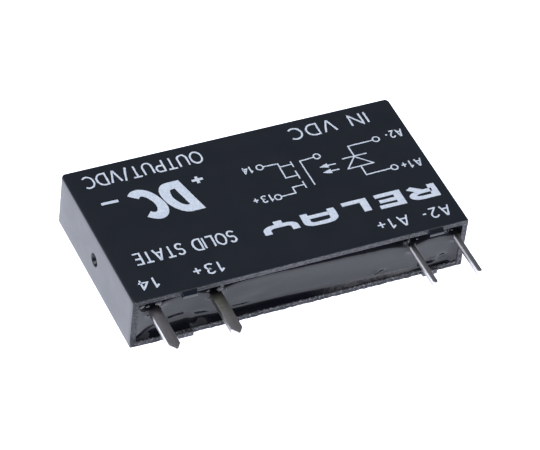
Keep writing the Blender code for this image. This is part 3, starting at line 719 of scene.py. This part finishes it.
def letterShapes():
    # width and pen strokes of each letter, one unit tall
    bowl = joined(line((0, 0), (0, 1)), arc(0.33, 0.74, 0.25, 0.26, 90, -90), line((0.04, 0.48)))
    return {
        "A": (0.76, [line((0, 0), (0.34, 1), (0.42, 1), (0.76, 0)), line((0.13, 0.33), (0.63, 0.33))]),
        "C": (0.74, [arc(0.42, 0.5, 0.42, 0.5, 48, 312, 30)]),
        "D": (0.72, [joined(line((0.3, 0), (0, 0), (0, 1), (0.3, 1)),
                            arc(0.3, 0.5, 0.42, 0.5, 88, -90, 26))]),
        "E": (0.6, [line((0.6, 1), (0, 1), (0, 0), (0.6, 0)), line((0, 0.51), (0.54, 0.51))]),
        "I": (0.0, [line((0, 0), (0, 1))]),
        "L": (0.56, [line((0, 1), (0, 0), (0.56, 0))]),
        "N": (0.7, [line((0, 0), (0, 1), (0.7, 0), (0.7, 1))]),
        "O": (0.82, [arc(0.41, 0.5, 0.41, 0.5, 0, 360, 40)]),
        "P": (0.58, [bowl]),
        "R": (0.6, [bowl, line((0.3, 0.48), (0.6, 0))]),
        "S": (0.6, [joined(arc(0.3, 0.74, 0.28, 0.26, 25, 270, 22),
                           arc(0.3, 0.25, 0.3, 0.25, 88, -155, 22))]),
        "T": (0.66, [line((0, 1), (0.66, 1)), line((0.33, 1), (0.33, 0))]),
        "U": (0.68, [joined(line((0, 1)), arc(0.34, 0.34, 0.34, 0.34, 180, 360, 20), line((0.68, 1)))]),
        "V": (0.72, [line((0, 1), (0.33, 0), (0.39, 0), (0.72, 1))]),
        "Y": (0.72, [line((0, 1), (0.36, 0.46), (0.72, 1)), line((0.36, 0.46), (0.36, 0))]),
        # squared A and Y of the heavy word
        "a": (0.72, [joined(line((0, 0)), arc(0.2, 0.74, 0.2, 0.26, 180, 90, 6),
                            arc(0.52, 0.74, 0.2, 0.26, 90, 0, 6), line((0.72, 0))),
                     line((0.1, 0.36), (0.62, 0.36))]),
        "y": (0.72, [joined(line((0, 1)), arc(0.2, 0.68, 0.2, 0.26, 180, 270, 6),
                            arc(0.52, 0.68, 0.2, 0.26, 270, 360, 6), line((0.72, 1))),
                     line((0.36, 0.42), (0.36, 0))]),
        "1": (0.3, [line((0, 0.76), (0.26, 1), (0.26, 0))]),
        "2": (0.58, [joined(arc(0.28, 0.72, 0.28, 0.28, 165, -30, 18), line((0, 0), (0.58, 0)))]),
        "3": (0.56, [joined(arc(0.26, 0.75, 0.26, 0.25, 155, -80, 18),
                            arc(0.26, 0.26, 0.3, 0.26, 82, -150, 20))]),
        "4": (0.66, [line((0.48, 0), (0.48, 1), (0, 0.3), (0.66, 0.3))]),
        "+": (0.6, [line((0, 0.42), (0.6, 0.42)), line((0.3, 0.1), (0.3, 0.74))]),
        "-": (0.3, [line((0, 0.42), (0.3, 0.42))]),
        "/": (0.36, [line((0, -0.08), (0.36, 1.08))]),
        " ": (0.34, []),
    }


def denser(path, stepMm):
    # straight runs cut into short ones, keeping every corner
    spans = np.hypot(*np.diff(path, axis=0).T)
    gaps = np.maximum(1, np.ceil(spans / stepMm).astype(int))
    places = np.concatenate([np.arange(count) / count + index for index, count in enumerate(gaps)])
    places = np.append(places, len(spans))
    return np.stack([np.interp(places, np.arange(len(path)), path[:, axis]) for axis in (0, 1)], axis=1)


def ribbon(path, penMm, closed, seed, warp=None):
    # flat ink profile carried along a path with mitred corners: side = path +- mitre * half width,
    # with half width wandering a little as ink does; returns points (u, v, height) and faces
    path = denser(np.vstack([path, path[:1]]) if closed else path, max(0.1, 1.1 * np.max(penMm)))
    if closed:
        path = path[:-1]
    ahead = np.roll(path, -1, axis=0) - path
    if not closed:
        ahead[-1] = ahead[-2]
    ahead /= np.hypot(*ahead.T)[:, None]
    normal = np.stack([-ahead[:, 1], ahead[:, 0]], axis=1)
    before = np.roll(normal, 1, axis=0)
    if not closed:
        before[0] = normal[0]
    overlap = 1 + np.clip((normal * before).sum(axis=1), -0.55, 1)
    mitre = (normal + before) / overlap[:, None]
    wobble = np.random.default_rng(seed).normal(0, 0.012, (2, len(path)))
    wobble = (wobble + np.roll(wobble, 1, axis=1) + np.roll(wobble, -1, axis=1)) / 2
    half = np.linspace(*np.broadcast_to(penMm, 2), len(path)) / 2       # a pair of widths tapers the stroke
    top = caseLook["printMm"]
    profile = ((1.0, -0.004), (0.97, top * 0.8), (0.86, top))       # share of the half width, and height
    columns = []
    for side, height in profile + tuple((-side, height) for side, height in profile[::-1]):
        edge = half + wobble[0 if side > 0 else 1] * np.minimum(half / 0.1, 1)
        columns.append(np.column_stack([path + mitre * (side * edge)[:, None], np.full(len(path), height)]))
    points = np.stack(columns, axis=1)
    if warp is not None:
        points[..., :2] = warp(points[..., :2])
    count = len(columns)
    if closed:
        points = np.concatenate([points, points[:1]])
    faces = quadGrid(len(points), count, closed=True)
    if not closed:
        faces.append(list(range(count)))
        faces.append(list(range((len(points) - 1) * count, len(points) * count)))
    return points.reshape(-1, 3), faces


def printPiece(name, strokes):
    # strokes are (path, pen, closed, warp), all in one mesh on the marked face, at five heights a hair
    # apart so that crossings stay clean
    points, faces, start = [], [], 0
    for index, (path, pen, closed, warp) in enumerate(strokes):
        made, sides = ribbon(path, pen, closed, 100 + index, warp)
        points.append(made - (0, 0, 0.0004 * (index % 5)))
        faces += [[corner + start for corner in face] for face in sides]
        start += len(made)
    flat = np.concatenate(points)
    place = np.stack([-flat[:, 0], -flat[:, 1], thick - caseLook["printMm"] + flat[:, 2]], axis=1)
    meshPiece(name, place, faces, inkMaterial, 40)


def words(text, left, right, bottom, top, penMm, stretch=1.0, slant=0.0, gap=0.26):
    # letters side by side, scaled so that the inked outline fills the given box
    shapes = letterShapes()
    tall = top - bottom - penMm
    widths = [shapes[letter][0] for letter in text]
    pen = penMm / tall
    advance = np.cumsum([0] + [width + gap + pen for width in widths])
    total = advance[-1] - gap - pen
    room = right - left - penMm * stretch - abs(slant) * tall
    first = left + penMm * stretch / 2 + max(-slant * tall, 0.0)
    across = room / (total * tall * stretch)
    strokes = []
    for letter, start in zip(text, advance):
        for stroke in shapes[letter][1]:
            shaped = (stroke + (start, 0)) * (across * tall, tall)
            closed = letter in "DO"
            if closed:
                shaped = shaped[:-1]        # the last point meets the first

            def warp(points):
                u = first + points[..., 0] * stretch + slant * points[..., 1]
                return np.stack([u, bottom + penMm / 2 + points[..., 1]], axis=-1)

            strokes.append((shaped, penMm, closed, warp))
    return strokes


def circuitSymbol():
    # input diode at the right, light arrows, gate, and the output switch between its two terminals
    pen, eye = 0.115, 0.27
    strokes = []

    def drawn(*corners, closed=False, width=pen):
        strokes.append((line(*corners), width, closed, None))

    def ring(centreU, centreV):
        strokes.append((arc(centreU, centreV, eye, eye, 0, 350, 24), pen, True, None))

    ring(-11.02, -3.4)
    drawn((-10.72, -3.39), (-8.55, -3.35), (-8.55, -2.12))
    drawn((-9.61, -2.19), (-7.48, -2.17))
    drawn((-8.53, -2.13), (-9.7, -1.02), (-7.47, -1.0), closed=True)
    drawn((-8.57, -1.02), (-8.56, 0.04), (-10.72, 0.0))
    ring(-11.02, -0.03)
    for level in (-1.86, -1.21):
        drawn((-6.8, level), (-5.9, level))
        strokes.append((line((-6.12, level), (-5.42, level)), (0.5, 0.03), False, None))
    ring(-5.72, -3.08)
    drawn((-5.43, -3.06), (-4.23, -3.0), (-4.25, -0.2))
    ring(-0.95, -3.33)
    drawn((-1.25, -3.31), (-2.46, -3.27), (-2.4, -1.6), (-3.5, -1.62))
    drawn((-2.44, -2.88), (-3.52, -2.88))
    drawn((-3.5, -3.2), (-3.5, -2.55))
    drawn((-3.44, -2.12), (-3.44, -1.2))
    ring(-0.95, 0.17)
    drawn((-1.25, 0.18), (-2.44, 0.16), (-2.46, -0.49), (-3.52, -0.49))
    drawn((-3.48, -0.87), (-3.48, -0.09))
    return strokes


def allPrint():
    # everything printed on the marked face, each block filling its own box: text, left, right, bottom,
    # top and pen width
    fine, small = 0.155, 0.12
    blocks = {
        "print_terminal_a2": words("A2-", -13.12, -10.72, 5.0, 6.15, 0.14),
        "print_terminal_a1": words("A1+", -9.58, -6.86, 5.0, 6.15, 0.14),
        "print_terminal_13": words("13+", 6.02, 8.56, 5.04, 6.19, fine),
        "print_terminal_14": words("14", 11.3, 12.97, 5.02, 6.17, fine),
        "print_name": words("RELay", -13.15, 1.7, 2.35, 3.95, 0.37, stretch=1.75, gap=0.02),
        "print_type": words("SOLID STATE", 3.85, 12.25, 2.32, 3.62, fine, gap=0.16),
        "print_input": words("IN VDC", -11.45, -4.65, -6.65, -5.3, fine, gap=0.2),
        "print_output": words("OUTPUT/VDC", 2.8, 12.75, -6.62, -5.25, fine, gap=0.14),
        "print_emblem": words("DC", 4.9, 10.25, -4.05, -0.53, 0.8, slant=-0.24, gap=0.11),
        "print_emblem_signs": (words("+", 3.62, 4.8, -4.2, -2.8, 0.24)
                               + words("-", 10.75, 12.4, -4.0, -2.6, 0.26)),
        "print_circuit": circuitSymbol(),
        "print_circuit_a2": words("A2-", -13.4, -11.85, -3.97, -3.1, small),
        "print_circuit_a1": words("A1+", -13.4, -11.6, -0.42, 0.45, small),
        "print_circuit_14": words("14", -0.35, 0.54, -3.74, -2.93, small),
        "print_circuit_13": words("13+", -0.6, 1.1, -0.37, 0.44, small),
    }
    for name, strokes in blocks.items():
        printPiece(name, strokes)
    print("print:", len(blocks), "blocks")


crumbLook = {
    # pale grey balls under the rim beside the roots, standing in for highlights there: a painted highlight
    "placeMm": ((-6.85, -6.98, 3.84), (-6.3, -6.92, 3.6), (-7.8, -6.95, 3.95), (-11.85, -7.0, 4.0),
                (-12.7, -6.97, 3.9), (-13.25, -7.02, 4.06), (9.75, -6.93, 3.85), (12.7, -6.95, 3.9)),
    "sizeMm": (0.19, 0.11, 0.1, 0.18, 0.11, 0.16, 0.07, 0.06),
    "flatten": (1.25, 0.6, 1.0),        # each ball's share along x, y and z
    "swell": (0.26, 0.14, 0.17),        # of the three waves
}


def rootCrumbs():
    # small balls whose radius swells and shrinks with direction: r = size * (1 + waves of the angles)
    look = crumbLook
    source = np.random.default_rng(31)
    rows, columns = 17, 22
    polar = np.linspace(0, math.pi, rows)[:, None]
    turn = np.linspace(0, 2 * math.pi, columns, endpoint=False)[None, :]
    points, faces = [], []
    threefold, lengthwise, fivefold = look["swell"]
    for centre, size in zip(look["placeMm"], look["sizeMm"]):
        shift = source.uniform(0, 2 * math.pi, 4)
        swell = size * (1 + threefold * np.cos(3 * turn + shift[0]) * np.sin(polar) ** 2
                        + lengthwise * np.cos(2 * polar + shift[1])
                        + fivefold * np.cos(5 * turn + 4 * polar + shift[2]) * np.sin(polar) ** 2)
        ball = np.stack([swell * np.sin(polar) * np.cos(turn), swell * np.sin(polar) * np.sin(turn),
                         swell * np.cos(polar)], axis=-1)
        faces += quadGrid(rows, columns, start=len(points) * rows * columns, closed=True)
        points.append((ball * look["flatten"] + centre).reshape(-1, 3))
    meshPiece("root_crumbs", np.concatenate(points), faces, paintedHighlightBall(), 80)
    print("root crumbs:", len(points))


def dressInside():
    # materials of the parts sealed in the resin
    board, moulded, solder = boardLaminate(), mouldCompound(), solderMetal()
    lead = tinPlate("leadTin", rgb(0.4, 0.39, 0.37))
    for name, node in nodes.items():
        if name in ("housing", "potting_compound") or name in pinNames:
            continue
        if name == "circuit_board":
            chosen = board
        elif name.startswith("solder"):
            chosen = solder
        elif "lead" in name or "strip" in name or "tab" in name:
            chosen = lead
        elif name.endswith("_body"):
            chosen = moulded
        else:
            low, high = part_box(name)
            size = (high - low) / mm
            axis = 0 if size.x > size.y else 1
            ceramic = chipLook["capacitor" if "capacitor" in name else "resistor"]
            chosen = chipCeramic(name + "_ceramic", ceramic, axis, (low[axis] + high[axis]) / 2 / mm,
                                 size[axis] / 2 - chipLook["capMm"])
        node.data.materials.clear()
        node.data.materials.append(chosen)
        for face in node.data.polygons:
            face.material_index = 0
    print("inner parts dressed")


stageLook = {
    "floorSizeMm": 4000.0,
    "floorColours": (rgb(0.83, 0.85, 0.88), rgb(0.81, 0.83, 0.86)),
    "floorGlow": 1.55,
    "glowTint": rgb(0.93, 0.96, 1.1),
    "roomTint": rgb(0.93, 0.97, 1.05),
    # the room's brightness: low down all round, high up, and high up behind the camera
    "horizon": 0.95,
    "ceiling": 0.17,
    "cameraSide": 0.24,
}


def makeStage():
    look = stageLook
    bpy.ops.mesh.primitive_plane_add(size=look["floorSizeMm"] * mm, location=(0, 0, caseLow.z - 0.00002))
    floor = bpy.context.object
    floor.name = "pale_floor"
    paper = Finish("paleFloor", Roughness=0.7, Emission_Strength=look["floorGlow"])
    paper.shader.inputs["Emission Color"].default_value = look["glowTint"]
    paper.drive("Base Color", paper.blend(paper.noise(0.01, 2.0), *look["floorColours"]))
    floor.data.materials.append(paper.material)

    # the room: bright low down, dim above, and darkest behind the camera
    world = bpy.data.worlds.new("softRoom")
    bpy.context.scene.world = world
    world.use_nodes = True
    tree = world.node_tree
    place = tree.nodes.new("ShaderNodeTexCoord")
    split = tree.nodes.new("ShaderNodeSeparateXYZ")
    tree.links.new(place.outputs["Generated"], split.inputs[0])

    def eased(socket, low, high, first, last):
        made = tree.nodes.new("ShaderNodeMapRange")
        made.interpolation_type = "SMOOTHSTEP"
        for key, value in (("From Min", low), ("From Max", high), ("To Min", first), ("To Max", last)):
            made.inputs[key].default_value = value
        tree.links.new(socket, made.inputs["Value"])
        return made.outputs[0]

    def combine(operation, first, second):
        made = tree.nodes.new("ShaderNodeMath")
        made.operation = operation
        tree.links.new(first, made.inputs[0])
        tree.links.new(second, made.inputs[1])
        return made.outputs[0]

    height = eased(split.outputs[2], 0.1, 0.46, look["horizon"], look["ceiling"])
    front = eased(split.outputs[1], -0.62, -0.3, look["cameraSide"] / look["horizon"], 1.0)
    above = eased(split.outputs[2], -0.02, 0.06, 1.0, 0.0)
    dimmed = combine("MAXIMUM", front, above)
    tree.links.new(combine("MULTIPLY", height, dimmed), tree.nodes["Background"].inputs["Strength"])
    tree.nodes["Background"].inputs["Color"].default_value = look["roomTint"]
    bpy.context.scene.view_settings.view_transform = "Standard"


lampLook = {
    "placeMm": (-330, 60, 900),
    "aimMm": (0, 0, 0),
    "sizeMm": (700, 700),
    "watts": 7.5,
    "colour": (0.95, 0.98, 1.04),
}


def softLight(name):
    look = lampLook
    data = bpy.data.lights.new(name, "AREA")
    data.shape = "RECTANGLE"
    data.size, data.size_y = look["sizeMm"][0] * mm, look["sizeMm"][1] * mm
    data.energy = look["watts"]
    data.color = look["colour"]
    lamp = bpy.data.objects.new(name, data)
    lamp.location = Vector(look["placeMm"]) * mm
    ahead = Vector(look["aimMm"]) - Vector(look["placeMm"])
    lamp.rotation_euler = ahead.to_track_quat("-Z", "Y").to_euler()
    bpy.context.scene.collection.objects.link(lamp)


cameraLook = {
    "placeMm": (-93.501, -166.203, 184.557),
    "ahead": (0.3561, 0.6286, -0.6914),     # direction of view
    "rollDegrees": 7.636,
    "lens": 227.82,
    "sensor": 36.0,
}


def makeCamera():
    look = cameraLook
    ahead = Vector(look["ahead"]).normalized()
    level = ahead.cross(Vector((0, 0, 1))).normalized()
    upward = level.cross(ahead)
    roll = math.radians(look["rollDegrees"])
    right = level * math.cos(roll) + upward * math.sin(roll)
    top = right.cross(ahead)
    data = bpy.data.cameras.new("camera")
    data.sensor_width = look["sensor"]
    data.lens = look["lens"]
    data.clip_start, data.clip_end = 0.01, 10.0
    camera = bpy.data.objects.new("camera", data)
    camera.matrix_world = Matrix.Translation(Vector(look["placeMm"]) * mm) @ Matrix(
        ((right.x, top.x, -ahead.x), (right.y, top.y, -ahead.y), (right.z, top.z, -ahead.z))).to_4x4()
    bpy.context.scene.collection.objects.link(camera)
    bpy.context.scene.camera = camera


inkMaterial = printInk()
makeCamera()
makeStage()
softLight("overhead")
print("stage ready")
caseShell()
resinSurface()
for name in pinNames:
    pinBlade(name)
print("pins ready")
rootCrumbs()
allPrint()
dressInside()
